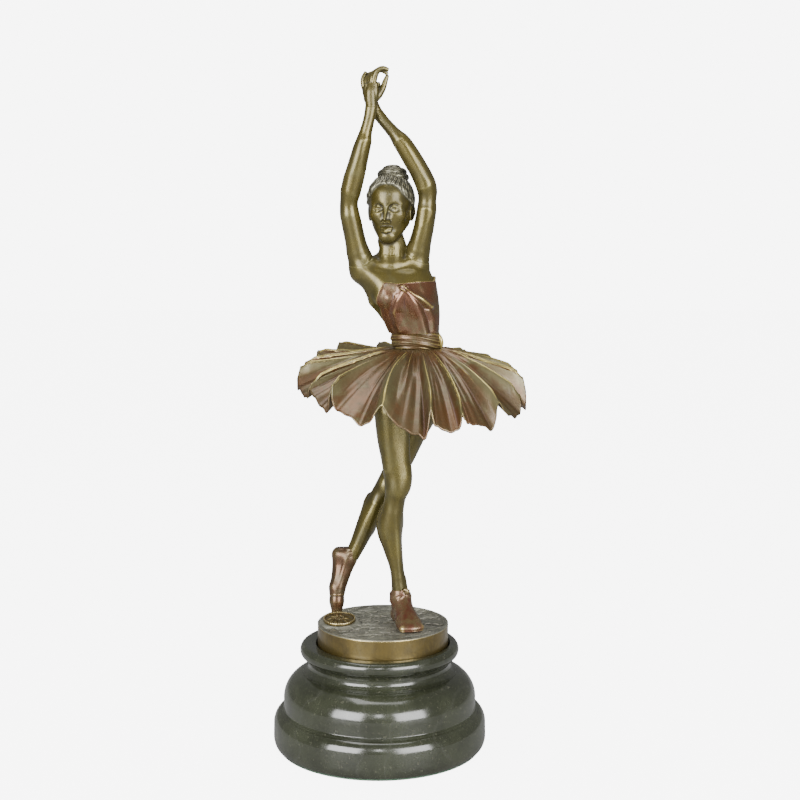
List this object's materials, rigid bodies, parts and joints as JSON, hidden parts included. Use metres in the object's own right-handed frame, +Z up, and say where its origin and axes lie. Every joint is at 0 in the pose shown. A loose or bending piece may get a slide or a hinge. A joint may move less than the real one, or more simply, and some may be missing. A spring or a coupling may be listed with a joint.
{
  "type": "ballerina statuette",
  "caption": "Free-standing bronze dancer with raised arms and a flared skirt, on a bronze ground disc bolted to a turned dark marble plinth.",
  "frame": {"origin": "centre of the plinth's underside, on the face of the felt pad", "axes": "+Z up through the figure's raised hands; -Y is the side the figure faces; +X is to the viewer's right"},
  "size_m": [0.1471, 0.132, 0.3919],
  "materials": {
    "felt": "matte",
    "marble": "polished",
    "steel": "satin",
    "ground_bronze": "satin",
    "skin_bronze": "satin",
    "dress_bronze": "satin",
    "hair_bronze": "satin"
  },
  "bodies": {
    "root": {"felt_pad": "felt", "plinth": "marble", "tie_rod": "steel", "rod_washer": "steel", "rod_nut": "steel", "ground_disc": "ground_bronze", "seal_medallion": "ground_bronze", "right_slipper": "dress_bronze", "left_slipper": "dress_bronze", "foot_washers": "steel", "foot_nuts": "steel", "right_leg": "skin_bronze", "left_leg": "skin_bronze", "hips": "dress_bronze", "skirt": "dress_bronze", "waist_sash": "dress_bronze", "torso": "skin_bronze", "bodice": "dress_bronze", "torso_rod": "steel", "torso_washer": "steel", "torso_nut": "steel", "head": "skin_bronze", "right_arm": "skin_bronze", "left_arm": "skin_bronze", "right_hand": "skin_bronze", "left_hand": "skin_bronze"}
  },
  "joints": []
}
